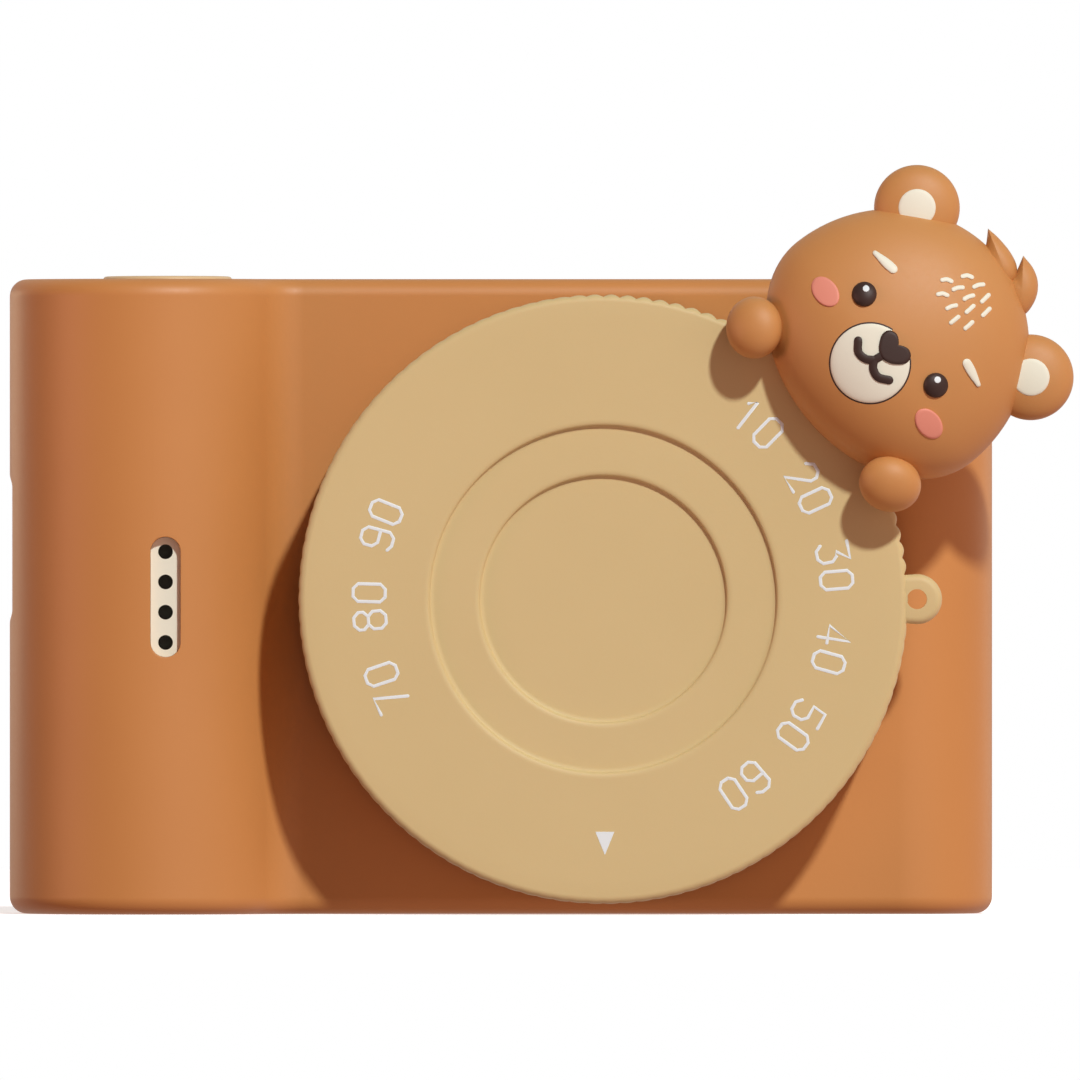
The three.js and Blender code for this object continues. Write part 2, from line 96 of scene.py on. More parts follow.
# Lens axis, the ring behind the cap, the cap and its eyelet
LENS_X = middle_of(RING_LOW, RING_HIGH, 0)
LENS_Z = middle_of(RING_LOW, RING_HIGH, 2)
SPIGOT_R = 22.0
RING_END = -20.3
CAP_R = LENS_X - CAP_LOW[0]
CAP_FRONT = CAP_LOW[1]
CAP_REAR = CAP_HIGH[1]
CAP_STEP = 0.62
RIBS = 114
EYELET_R = 2.5
EYELET_X = CAP_HIGH[0] - EYELET_R
EYELET_ROOT = 38.6

# Sound slot and shutter button
SLOT_X = middle_of(GRILLE_LOW, GRILLE_HIGH, 0)
SLOT_Z = middle_of(GRILLE_LOW, GRILLE_HIGH, 2)
SOUND_HOLES = 4
SOUND_PITCH = 3.02
BUTTON_X = middle_of(BUTTON_LOW, BUTTON_HIGH, 0)
BUTTON_Y = middle_of(BUTTON_LOW, BUTTON_HIGH, 1)
BUTTON_R = 6.45

# Rear keys: angle of each arrow key about the middle, then x, z and radius of each round key
KEY_CENTRE = (-32.0, 34.0)
KEY_TOP = span("key_ok")[1][1]
ARROW_MARK_R = 7.7
ARROWS = {"key_right": 0, "key_up": 90, "key_left": 180, "key_down": 270}
ROUND = {"key_ok": (*KEY_CENTRE, 4.0), "power_button": (-33.0, 52.5, 2.8),
         "menu_button": (-38.0, 14.5, 3.0), "play_button": (-26.0, 14.5, 3.0)}
SCREWS = [(-21, 5), (-21, 58.5), (43.5, 5), (43.5, 58.5)]
SCREW_R = 2.0
WELL_R = 2.3

# The bear: its own axes are a across the face, b up to the crown and f out of the face
BEAR_X, BEAR_Z = 39.74, 57.34
TILT = math.radians(38.1)
A_AXIS = (math.sin(TILT), -math.cos(TILT))
B_AXIS = (math.cos(TILT), math.sin(TILT))
HEAD_MIDDLE, HEAD_CENTRE, HEAD_HALF = 23.5, -2.0, 14.0
CROWN, CHIN, FACE, NAPE = 14.8, 10.1, 8.0, 5.1
PAW_MIDDLE, PAW_DEEP = 26.1, 2.9
PAWS = [("right", -9.9, -10.65, -38, (0.14, 0.12)), ("left", 10.7, -9.6, 38, (-0.15, 0.11))]
# The last value is the outer radius of the painted shadow ring around the muzzle
MUZZLE, MUZZLE_R, MUZZLE_LIFT, GAP_SHADE_R = (0.0, -3.8), 3.96, 0.14, 4.1
NOSE = (0.33, -1.25)
EYE_A, EYE_R, EYE_LIFT = 5.77, 1.24, 0.75
CHEEK_A, CHEEK_B = 8.35, -2.9
BROW_A, BROW_B = 7.1, 3.6
EARS = [("right", -9.3, 9.5), ("left", 11.0, 8.0)]
EAR_MIDDLE, EAR_R, EAR_DEEP, EAR_POWER = 23.3, 4.28, 2.5, 0.8


# ---------------------------------------------------------------- materials

# Sockets of the colour mix node: several of its sockets share a name
MIX_SHARE, MIX_UNDER, MIX_OVER, MIX_COLOUR = 0, 6, 7, 2


def node(tree, kind, **values):
    made = tree.nodes.new(kind)
    for key, value in values.items():
        setattr(made, key, value)
    return made


def wire(tree, a, out, b, into):
    tree.links.new(a.outputs[out], b.inputs[into])


def plain(name):
    """A new material with its tree and its shader."""
    made = bpy.data.materials.new(name)
    made.use_nodes = True
    return made, made.node_tree, made.node_tree.nodes["Principled BSDF"]


def noise(tree, scale, detail):
    """Noise in the piece's own coordinates."""
    made = node(tree, "ShaderNodeTexNoise")
    made.inputs["Scale"].default_value = scale
    made.inputs["Detail"].default_value = detail
    wire(tree, node(tree, "ShaderNodeTexCoord"), "Object", made, "Vector")
    return made


def remap(tree, source, out, given, wanted):
    """Maps a value from the range given to the range wanted."""
    made = node(tree, "ShaderNodeMapRange")
    for socket, value in zip(("From Min", "From Max", "To Min", "To Max"), (*given, *wanted)):
        made.inputs[socket].default_value = value
    wire(tree, source, out, made, "Value")
    return made


def tinted(tree, texture, dark, light, low=0.0, high=1.0):
    """Colour that goes from dark to light as the texture rises from low to high."""
    made = node(tree, "ShaderNodeValToRGB")
    stops = made.color_ramp.elements
    stops[0].position = low
    stops[0].color = (*dark, 1)
    stops[1].position = high
    stops[1].color = (*light, 1)
    wire(tree, texture, "Fac", made, "Fac")
    return made


def rubbed(tree, soften, tint, light):
    """The tint, paler along the edges, where the eased normal leaves the face's own."""
    level = node(tree, "ShaderNodeVectorMath", operation="DOT_PRODUCT")
    wire(tree, soften, "Normal", level, 0)
    wire(tree, node(tree, "ShaderNodeNewGeometry"), "Normal", level, 1)
    # From the cosine between the two normals to the share of the paler colour
    rub = remap(tree, level, "Value", (0.99, 0.80), (0.0, 0.35))
    mix = node(tree, "ShaderNodeMix", data_type="RGBA")
    mix.inputs[MIX_OVER].default_value = (*[min(1.0, c * 1.12 + 0.02) for c in light], 1)
    wire(tree, rub, "Result", mix, MIX_SHARE)
    wire(tree, tint, "Color", mix, MIX_UNDER)
    return mix


def moulded(name, light, dark, rough, grain=2600, bump=0.12, sheen=0.0, scatter=0.0,
            round_edge=0.15, metallic=0.0, mirror=0.5):
    """A moulded or plated surface: slow colour drift, and fine grain in its bump and gloss.

    Where round_edge, in millimetres, isn't 0, edges are eased by it and look paler, as if rubbed.
    """
    made, tree, shader = plain(name)
    tint = tinted(tree, noise(tree, scale=45, detail=4), dark, light, low=0.35, high=0.65)
    fine = noise(tree, grain, detail=3)
    gloss = remap(tree, fine, "Fac", (0.0, 1.0), rough)
    wire(tree, gloss, "Result", shader, "Roughness")
    relief = node(tree, "ShaderNodeBump")
    relief.inputs["Strength"].default_value = bump
    relief.inputs["Distance"].default_value = 0.05 * MM
    wire(tree, fine, "Fac", relief, "Height")
    wire(tree, relief, "Normal", shader, "Normal")
    if round_edge:
        soften = node(tree, "ShaderNodeBevel", samples=4)
        soften.inputs["Radius"].default_value = round_edge * MM
        wire(tree, soften, "Normal", relief, "Normal")
        wire(tree, rubbed(tree, soften, tint, light), MIX_COLOUR, shader, "Base Color")
    else:
        wire(tree, tint, "Color", shader, "Base Color")
    shader.inputs["Metallic"].default_value = metallic
    shader.inputs["Sheen Weight"].default_value = sheen
    shader.inputs["Specular IOR Level"].default_value = mirror
    shader.inputs["Subsurface Weight"].default_value = scatter
    shader.inputs["Subsurface Radius"].default_value = (0.9, 0.45, 0.25)
    shader.inputs["Subsurface Scale"].default_value = 0.8 * MM
    made.diffuse_color = (*light, 1)
    return made


def clear(name, colour, alpha):
    """Clear glass or acrylic with faint smears in its gloss."""
    made, tree, shader = plain(name)
    smear = noise(tree, scale=90, detail=5)
    gloss = remap(tree, smear, "Fac", (0.0, 1.0), (0.02, 0.10))
    wire(tree, gloss, "Result", shader, "Roughness")
    tint = tinted(tree, smear, [c * 0.9 for c in colour], colour)
    wire(tree, tint, "Color", shader, "Base Color")
    shader.inputs["Alpha"].default_value = alpha
    shader.inputs["Coat Weight"].default_value = 1.0
    return made


# Each moulded material: its lighter and darker colour, then its range of roughness
CARAMEL = moulded("caramel_housing", (0.592, 0.270, 0.080), (0.572, 0.257, 0.075), (0.42, 0.56),
                  round_edge=0.2)
CARAMEL_SOFT = moulded("caramel_soft", (0.602, 0.294, 0.091), (0.584, 0.282, 0.087), (0.5, 0.62),
                       scatter=0.05, round_edge=0, mirror=0.6)
BEIGE = moulded("beige_silicone", (0.660, 0.550, 0.272), (0.644, 0.535, 0.262), (0.5, 0.64),
                sheen=0.03, scatter=0.04, round_edge=0)
BEIGE_KEY = moulded("beige_key", (0.770, 0.585, 0.320), (0.754, 0.568, 0.306), (0.4, 0.52))
CREAM = moulded("cream", (0.86, 0.92, 0.78), (0.84, 0.90, 0.76), (0.5, 0.62), round_edge=0)
CORAL = moulded("coral", (0.84, 0.340, 0.252), (0.81, 0.324, 0.238), (0.5, 0.62), round_edge=0)
BROWN = moulded("dark_brown", (0.046, 0.026, 0.021), (0.038, 0.021, 0.017), (0.5, 0.62), round_edge=0)
# White for the printed figures and marks, and for the painted highlights on the eyes
PRINT_AND_GLINT = moulded("white_print_and_glint", (0.80, 0.94, 0.98), (0.78, 0.92, 0.96), (0.45, 0.6), round_edge=0)
BLACK = moulded("black_plastic", (0.016, 0.016, 0.016), (0.010, 0.010, 0.010), (0.4, 0.6))
SCREEN = moulded("display_black", (0.012, 0.014, 0.018), (0.008, 0.009, 0.012), (0.28, 0.29), bump=0.0)
BOARD = moulded("solder_mask", (0.012, 0.110, 0.050), (0.008, 0.080, 0.036), (0.3, 0.5))
MAT = moulded("silicone_mat", (0.70, 0.70, 0.66), (0.64, 0.64, 0.60), (0.6, 0.75))
STEEL = moulded("plated_steel", (0.56, 0.57, 0.58), (0.46, 0.47, 0.48), (0.25, 0.4),
                metallic=1.0, grain=4000, bump=0.05)
FOIL = moulded("battery_foil", (0.34, 0.38, 0.42), (0.28, 0.32, 0.36), (0.35, 0.5), metallic=0.7)
GLASS = clear("clear_window", (0.20, 0.22, 0.25), 0.15)
LENS_GLASS = clear("coated_glass", (0.18, 0.20, 0.34), 0.5)


# ---------------------------------------------------------------- mesh building

def raw(name, points, faces):
    """A mesh object from points in millimetres."""
    mesh = bpy.data.meshes.new(name)
    mesh.from_pydata([(x * MM, y * MM, z * MM) for x, y, z in points], [], faces)
    mesh.update()
    made = bpy.data.objects.new(name, mesh)
    bpy.context.scene.collection.objects.link(made)
    tidy(made)
    return made


def tidy(made):
    """Merges doubled points and turns all faces outwards."""
    work = bmesh.new()
    work.from_mesh(made.data)
    bmesh.ops.remove_doubles(work, verts=work.verts, dist=0.002 * MM)
    bmesh.ops.dissolve_degenerate(work, edges=work.edges, dist=1e-7)
    bmesh.ops.recalc_face_normals(work, faces=work.faces)
    work.to_mesh(made.data)
    work.free()


def grid(rows, closed_ring=True, caps=True):
    """Points and faces of a skin through rows of equal length."""
    points = [p for row in rows for p in row]
    count = len(rows[0])
    faces = []
    for r in range(len(rows) - 1):
        for c in range(count if closed_ring else count - 1):
            d = (c + 1) % count
            faces.append((r * count + c, r * count + d, (r + 1) * count + d, (r + 1) * count + c))
    if caps:
        faces.append(tuple(range(count - 1, -1, -1)))
        faces.append(tuple(range((len(rows) - 1) * count, len(rows) * count)))
    return points, faces


def boolean(target, tool):
    """Cuts the tool out of the target and removes the tool."""
    step = target.modifiers.new("cut", "BOOLEAN")
    step.operation = "DIFFERENCE"
    step.solver = "EXACT"
    step.object = tool
    graph = bpy.context.evaluated_depsgraph_get()
    result = bpy.data.meshes.new_from_object(target.evaluated_get(graph))
    target.modifiers.clear()
    target.data = result
    bpy.data.objects.remove(tool, do_unlink=True)


def level_faces(made):
    """Lets the large flat faces set the shading, so that the eased rims of the openings stay local."""
    step = made.modifiers.new("flat_faces_lead", "WEIGHTED_NORMAL")
    step.weight = 100
    step.keep_sharp = True


# Angles, in degrees, up to which the edges of a piece look smooth
SHELL_EDGE, CAP_EDGE, ROUND_EDGE = 28, 50, 60


def show(made, material, body, stands_for=(), sharp=35):
    """Finishes a piece: material, smooth shading, body and the CAD nodes it stands for."""
    made.data.materials.clear()
    made.data.materials.append(material)
    made.data.shade_smooth()
    made.data.set_sharp_from_angle(angle=math.radians(sharp))
    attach(made, body)
    if stands_for:
        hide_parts(*stands_for)
    return made


def arc(cx, cy, r, start, end, steps):
    """Points of an arc; its start and end are in degrees."""
    return [
        (cx + r * math.cos(math.radians(start + (end - start) * i / steps)),
         cy + r * math.sin(math.radians(start + (end - start) * i / steps)))
        for i in range(steps + 1)
    ]


def rounded_rect(x0, x1, z0, z1, r, steps=8):
    return (
        arc(x1 - r, z0 + r, r, -90, 0, steps)
        + arc(x1 - r, z1 - r, r, 0, 90, steps)
        + arc(x0 + r, z1 - r, r, 90, 180, steps)
        + arc(x0 + r, z0 + r, r, 180, 270, steps)
    )


def circle(x, z, r, steps=64):
    return arc(x, z, r, 0, 360, steps)[:-1]


def prism(name, outline, levels, drop=None):
    """A solid along Y: outline(grow) gives X-Z points, levels are (y, grow) pairs, drop(x) moves it back."""
    rows = []
    for y, grow in levels:
        rows.append([(x, y + (drop(x) if drop else 0), z) for x, z in outline(grow)])
    return raw(name, *grid(rows))


def lathe(name, profile, cx, cz, steps=160, scoop=None):
    """A round solid about an axis along Y; profile holds (r, y) and closes on the axis or on itself.

    With scoop(angle), each point of the profile also holds the share of the scoop that it loses.
    """
    rows = []
    for r, y, *share in profile:
        row = []
        for i in range(steps):
            angle = 2 * math.pi * i / steps
            reach = r - scoop(angle) * share[0] if scoop else r
            row.append((cx + reach * math.cos(angle), y, cz + reach * math.sin(angle)))
        rows.append(row)
    return raw(name, *grid(rows, caps=False))


def fillet(corners, r, steps=4):
    """Rounds the corners of a profile between its two ends; more values of a corner are kept."""
    out = [corners[0]]
    for before, here, after in zip(corners, corners[1:], corners[2:]):
        here_v = Vector(here[:2])
        to_a = Vector(before[:2]) - here_v
        to_b = Vector(after[:2]) - here_v
        cut = min(r, to_a.length * 0.45, to_b.length * 0.45)
        p0 = here_v + to_a.normalized() * cut
        p1 = here_v + to_b.normalized() * cut
        for i in range(steps + 1):
            t = i / steps
            p = p0 * (1 - t) ** 2 + here_v * 2 * t * (1 - t) + p1 * t ** 2
            out.append((p.x, p.y, *here[2:]))
    out.append(corners[-1])
    return out


# ---------------------------------------------------------------- housings

def plan(inset):
    """The body's outline seen from above, inset from the outer wall."""
    side = HALF - inset
    front = FRONT + inset
    rear = REAR - inset
    hollow = BLEND + inset
    drop = GRIP_Y - (FRONT - BLEND)
    blend_x = GRIP_X + math.sqrt((GRIP_R + BLEND) ** 2 - drop ** 2)
    meet = math.degrees(math.atan2(drop, GRIP_X - blend_x))
    front_r = CORNER_FRONT - inset
    right_r = CORNER_REAR_RIGHT - inset
    left_r = CORNER_REAR_LEFT - inset
    return (
        arc(GRIP_X, GRIP_Y, GRIP_R - inset, 180, 180 + meet, 72)
        + arc(blend_x, front - hollow, hollow, meet, 90, 20)[1:]
        + arc(side - front_r, front + front_r, front_r, 270, 360, 28)
        + arc(side - right_r, rear - right_r, right_r, 0, 90, 20)
        + arc(-side + left_r, rear - left_r, left_r, 90, 180, 16)
    )


def upright_form(name, layers):
    """A solid along Z: layers are (z, inset) pairs of the plan outline."""
    return raw(name, *grid([[(x, y, z) for x, y in plan(inset)] for z, inset in layers]))


def block(name, x0, x1, y0, y1, z0, z1):
    return raw(name, *grid([[(x0, y0, z), (x1, y0, z), (x1, y1, z), (x0, y1, z)] for z in (z0, z1)]))


def rounded_layers():
    """Layers of the body, with its rounded lower and upper edges."""
    turn = [math.radians(a) for a in range(0, 91, 9)]
    low = [(EDGE * (1 - math.cos(t)), EDGE * (1 - math.sin(t))) for t in turn]
    return low + [(HEIGHT - z, inset) for z, inset in reversed(low)]


def grip_flat(name):
    """Cutter for the shallow flat on the grip's side, with eased ends."""
    low, high, ramp, depth = 29.0, 44.1, 1.4, 0.28
    outside, half = -60, 30
    ease = [(i / 8, 0.5 - 0.5 * math.cos(math.pi * i / 8)) for i in range(9)]
    edge = [(-HALF + depth * e, low + ramp * t) for t, e in ease]
    edge += [(-HALF + depth * e, high - ramp * t) for t, e in reversed(ease)]
    outline = [(outside, low)] + edge + [(outside, high)]
    return prism(name, lambda grow: outline, [(-half, 0), (half, 0)])


def arrow_outline(angle, inner, outer, half, widen):
    """Outline of an arrow key or its hole: a piece of a ring, half degrees wide to each side."""
    def outline(grow):
        reach = half + widen * grow
        return (arc(*KEY_CENTRE, outer + grow, angle - reach, angle + reach, 24)
                + arc(*KEY_CENTRE, inner - grow, angle + reach, angle - reach, 24))
    return outline


def round_outline(x, z, r, steps=64):
    return lambda grow: circle(x, z, r + grow, steps)


# The flare of a soft opening: how far out along it, and how much wider
FLARE = ((0.0, 0.0), (0.5, 0.04), (0.8, 0.13), (1.0, 0.3))


def flared(deep, face, outward, size=0.25):
    """Levels of a cutter that opens softly at the surface y = face."""
    levels = [(deep, 0.0)]
    for t, grow in FLARE:
        levels.append((face - outward * size * (1 - t), grow * size))
    levels.append((face + outward * 3, 0.3 * size))
    return levels


shell = upright_form("shell", rounded_layers())
groove = block("groove", -BEYOND, BEYOND, SPLIT - SEAM_HALF, SPLIT + SEAM_HALF, -5, BEYOND)
boolean(groove, upright_form("groove_core", [(SEAM_DEEP, SEAM_DEEP), (HEIGHT - SEAM_DEEP, SEAM_DEEP)]))
boolean(shell, groove)
boolean(shell, upright_form("hollow", [(WALL, WALL), (HEIGHT - WALL, WALL)]))
boolean(shell, grip_flat("flat"))

rear_shell = shell.copy()
rear_shell.data = shell.data.copy()
bpy.context.scene.collection.objects.link(rear_shell)
front_shell = shell
front_shell.name = "front_shell"
rear_shell.name = "rear_shell"
boolean(front_shell, block("behind", -BEYOND, BEYOND, SPLIT, 40, -5, BEYOND))
boolean(rear_shell, block("before", -BEYOND, BEYOND, -40, SPLIT, -5, BEYOND))


# Front: lens hole, sound slot, button hole, port recess

def stadium(width, height):
    def outline(grow):
        w, h = width / 2 + grow, height / 2 + grow
        return rounded_rect(SLOT_X - w, SLOT_X + w, SLOT_Z - h, SLOT_Z + h, w - 0.001, 14)
    return outline


def grip_drop(x):
    """How far the grip's skin lies behind its crest at x."""
    return GRIP_R - math.sqrt(GRIP_R * GRIP_R - (x - GRIP_X) ** 2)


def vertical(name, profile, steps=120):
    """A round solid about the shutter button's axis; profile holds (r, z)."""
    turns = [2 * math.pi * i / steps for i in range(steps)]
    rows = [[(BUTTON_X + r * math.cos(t), BUTTON_Y + r * math.sin(t), z) for t in turns] for r, z in profile]
    return raw(name, *grid(rows, caps=False))


def side_box(name, x0, x1, y0, y1, z0, z1, r):
    """A rounded box along X."""
    outline = rounded_rect(y0, y1, z0, z1, r, 6)
    return raw(name, *grid([[(x, y, z) for y, z in outline] for x in (x0, x1)]))


LENS_HOLE = [(0, -14), (SPIGOT_R + 0.1, -14), (SPIGOT_R + 0.1, -6), (0, -6)]
BUTTON_HOLE = [(0, 60), (BUTTON_R + 0.12, 60), (BUTTON_R + 0.12, HEIGHT - 0.2),
               (BUTTON_R + 0.18, HEIGHT - 0.07), (BUTTON_R + 0.32, HEIGHT), (BUTTON_R + 0.32, 66), (0, 66)]
boolean(front_shell, lathe("lens_hole", LENS_HOLE, LENS_X, LENS_Z, 120))
boolean(front_shell, prism("slot", stadium(3.0, 12.0), flared(-13, GRIP_CREST, -1, 0.07), grip_drop))
boolean(front_shell, vertical("button_hole", BUTTON_HOLE))
boolean(front_shell, side_box("port_recess", -55, FLAP_HIGH[0], FLAP_LOW[1] - 0.25, FLAP_HIGH[1] + 0.15,
                              FLAP_LOW[2] - 0.12, FLAP_HIGH[2] + 0.12, 0.9))
boolean(front_shell, side_box("socket_hole", -50, -46.4, -2.4, 0.6, 32.3, 40.8, 1.2))
boolean(front_shell, side_box("card_hole", -50, -46.4, 1.5, 3.2, 31, 42.1, 0.5))
show(front_shell, CARAMEL, "camera_body", ["front_housing"], SHELL_EDGE)
level_faces(front_shell)


# Rear: screen opening, keys, screw wells

def screen_outline(margin):
    def outline(grow):
        g = grow + margin
        return rounded_rect(GLASS_LOW[0] - g, GLASS_HIGH[0] + g, GLASS_LOW[2] - g, GLASS_HIGH[2] + g,
                            2.0 + g, 8)
    return outline


KEY_HOLE = flared(REAR_CUT, REAR, 1, 0.2)
boolean(rear_shell, prism("glass_pocket", screen_outline(0.1), flared(REAR - 1, REAR, 1)))
boolean(rear_shell, prism("screen_hole", screen_outline(-1.8), [(REAR_CUT, 0), (REAR - 0.9, 0)]))
for name, angle in ARROWS.items():
    boolean(rear_shell, prism(name + "_hole", arrow_outline(angle, 5.4, 10.0, 40, 4), KEY_HOLE))
for name, (x, z, r) in ROUND.items():
    boolean(rear_shell, prism(name + "_hole", round_outline(x, z, r + 0.15), KEY_HOLE))
for i, (x, z) in enumerate(SCREWS):
    boolean(rear_shell, prism(f"well_{i}", round_outline(x, z, WELL_R, 40), flared(8.0, REAR, 1)))
show(rear_shell, CARAMEL, "camera_body", ["rear_housing"], SHELL_EDGE)
level_faces(rear_shell)


# ---------------------------------------------------------------- buttons and keys

# The shutter button: its top, its flange under the housing and its stem
FLANGE_R, STEM_R = 7.1, 2
BUTTON_PROFILE = [
    (0, HEIGHT + 0.36), (BUTTON_R - 1.2, HEIGHT + 0.33), (BUTTON_R, HEIGHT + 0.28), (BUTTON_R, HEIGHT - 2),
    (FLANGE_R, HEIGHT - 2), (FLANGE_R, HEIGHT - 3.3), (STEM_R, HEIGHT - 3.3), (STEM_R, HEIGHT - 4.9),
    (0, HEIGHT - 4.9),
]
show(vertical("shutter_button_top", fillet(BUTTON_PROFILE, 0.4, 6)), BEIGE_KEY, "shutter_button",
     ["shutter_button"])

# A flange inside the housing, straight sides and a rounded rim
KEY_LEVELS = [(7.7, 0.5), (8.95, 0.5), (9.0, 0.0), (KEY_TOP - 0.4, 0.0), (KEY_TOP - 0.22, -0.05),
              (KEY_TOP - 0.08, -0.18), (KEY_TOP, -0.42)]
KEY_OUTLINES = {name: arrow_outline(angle, 5.6, 9.8, 38, 6) for name, angle in ARROWS.items()}
KEY_OUTLINES.update((name, round_outline(*place)) for name, place in ROUND.items())
for name, outline in KEY_OUTLINES.items():
    show(prism(name + "_cap", outline, KEY_LEVELS), BEIGE_KEY, name, [name])


# ---------------------------------------------------------------- raised or printed strokes

def ribbon(name, path, half, surface, lift, material, body, closed=False):
    """A rounded stroke of half width along a path of 2-D points; surface(p, h) places it in space."""
    path = [Vector(p) for p in path]
    count = len(path)
    widths = half if isinstance(half, (list, tuple)) else [half] * count
    across = [(-1.0, -0.05), (-0.94, lift * 0.55), (-0.75, lift * 0.9), (0.0, lift), (0.75, lift * 0.9),
              (0.94, lift * 0.55), (1.0, -0.05)]
    stations = []
    for i, p in enumerate(path):
        before = path[i - 1] if i or closed else path[i]
        after = path[(i + 1) % count] if i < count - 1 or closed else path[i]
        along = (after - before).normalized()
        stations.append((p, along, widths[i], 1.0))
    if not closed:
        first, last = stations[0], stations[-1]
        caps = [(math.cos(math.radians(a)), math.sin(math.radians(a))) for a in (12, 30, 50, 70)]
        head = [(first[0] - first[1] * first[2] * c, first[1], first[2] * s, s) for c, s in caps]
        tail = [(last[0] + last[1] * last[2] * c, last[1], last[2] * s, s) for c, s in reversed(caps)]
        stations = head + stations + tail
    rows = []
    for p, along, wide, tall in stations:
        normal = Vector((-along.y, along.x))
        rows.append([surface(p + normal * wide * u, h * tall if h > 0 else h) for u, h in across])
    points, faces = grid(rows, closed_ring=False, caps=False)
    return show(raw(name, points, faces), material, body, (), ROUND_EDGE)


def on_rear(p, h):
    return (p.x, KEY_TOP + h, p.y)


def symbol(name, path, body, closed=False):
    """A mark printed on top of a key."""
    ribbon(name, path, 0.22, on_rear, 0.06, CREAM, body, closed)


for name, angle in ARROWS.items():
    t = math.radians(angle)
    u, v = Vector((math.cos(t), math.sin(t))), Vector((-math.sin(t), math.cos(t)))
    middle = Vector(KEY_CENTRE) + u * ARROW_MARK_R
    symbol(name + "_mark", [middle - u * 0.5 + v, middle + u * 0.5, middle - u * 0.5 - v], name)
symbol("ok_mark", circle(*KEY_CENTRE, 1.3, 32), "key_ok", True)
x, z, _ = ROUND["power_button"]
symbol("power_mark_ring", arc(x, z, 1.15, 125, 415, 24), "power_button")
symbol("power_mark_bar", [(x, z + 0.4), (x, z + 1.35)], "power_button")
x, z, _ = ROUND["menu_button"]
for i in (-1, 0, 1):
    symbol(f"menu_mark_{i + 2}", [(x - 1.0, z + i * 0.8), (x + 1.0, z + i * 0.8)], "menu_button")
x, z, _ = ROUND["play_button"]
symbol("play_mark", [(x + 0.8, z + 1.1), (x - 1.1, z), (x + 0.8, z - 1.1)], "play_button", True)


# ---------------------------------------------------------------- lens group

# Profiles of (r, y) about the lens axis; the camera's front is towards lower y

def funnel_profile():
    """A ringed funnel that narrows towards the window."""
    profile = [(17.1, -14.8), (20.4, -14.5), (20.4, -19.0), (19.4, -19.0)]
    for i in range(6):
        r, y = 19.2 - i * 0.36, -18.7 + i * 0.66
        profile += [(r, y), (r - 0.28, y + 0.1)]
    return profile + profile[:1]


def barrel_profile():
    """The objective's barrel, with fine rings on its front."""
    profile = [(3.0, -3.0), (3.0, -11.0), (5.2, -11.0)]
    for i in range(4):
        r, y = 5.3 + i * 0.35, -11.3 - i * 0.27
        profile += [(r, y), (r + 0.3, y - 0.02)]
    return profile + [(7.6, -12.4), (7.8, -12.2), (7.8, -9.0), (6.9, -9.0), (6.9, -3.0), (3.0, -3.0)]


def dome_profile(r=5.0, base=-11.3, rise=0.8):
    """The front element: a low dome with a flat back."""
    turns = [math.radians(a) for a in range(0, 91, 6)]
    return [(r * math.sin(t), base - rise * math.cos(t)) for t in turns] + [(r, -11.0), (0, -11.0)]


TUBE_PROFILE = [
    (20.5, -15), (20.5, RING_END), (28.0, RING_END), (28.0, FRONT), (SPIGOT_R, FRONT), (SPIGOT_R, -7.0),
    (18.5, -7.0), (18.5, -13.3), (20.5, -13.3), (20.5, -15),
]
WINDOW_PROFILE = [(0, -14.5), (20.35, -14.5), (20.35, -13.3), (0, -13.3)]
show(lathe("lens_ring_tube", fillet(TUBE_PROFILE, 0.35), LENS_X, LENS_Z), CARAMEL, "camera_body",
     ["lens_ring"])
show(lathe("lens_bezel_funnel", funnel_profile(), LENS_X, LENS_Z), BLACK, "camera_body",
     ["lens_bezel"])
show(lathe("lens_window_disc", fillet(WINDOW_PROFILE, 0.15), LENS_X, LENS_Z), GLASS, "camera_body",
     ["lens_window"])
show(lathe("objective_barrel_threaded", barrel_profile(), LENS_X, LENS_Z), BLACK, "camera_body",
     ["objective_barrel"])
show(lathe("objective_front_element", dome_profile(), LENS_X, LENS_Z), LENS_GLASS, "camera_body",
     ["objective_glass"])


# ---------------------------------------------------------------- sound grille, port flap, screws, screen

grille = prism("grille_insert", stadium(2.96, 11.96), [(-13.4, 0), (-16.35, 0)])
for i in range(SOUND_HOLES):
    z = SLOT_Z + (i - (SOUND_HOLES - 1) / 2) * SOUND_PITCH
    hole = [(0, -19), (0.74, -19), (0.74, -12), (0, -12)]
    boolean(grille, lathe(f"sound_hole_{i}", hole, SLOT_X, z, 40))
show(grille, CREAM, "camera_body", ["speaker_grille"])
show(prism("grille_backing", stadium(2.6, 11.6), [(-13.35, 0), (-14.2, 0)]), BLACK, "camera_body", ())


def flap_levels():
    """Rings of the flap from its back to its outer face, which has a rounded rim."""
    low, high = FLAP_LOW, FLAP_HIGH
    rows = []
    for x, grow in ((high[0], 0), (low[0] + 0.25, 0), (low[0] + 0.07, -0.07), (low[0], -0.25)):
        outline = rounded_rect(low[1] - grow, high[1] + grow, low[2] - grow, high[2] + grow, 0.8, 8)
        rows.append([(x, y, z) for y, z in outline])
    return rows


flap = raw("port_flap_plate", *grid(flap_levels()))
boolean(flap, side_box("nail_notch", -50, FLAP_LOW[0] + 0.5, FLAP_LOW[1] - 1, FLAP_LOW[1] + 0.8,
                       34.5, 38.6, 0.7))
show(flap, CARAMEL_SOFT, "port_flap", ["port_flap"])

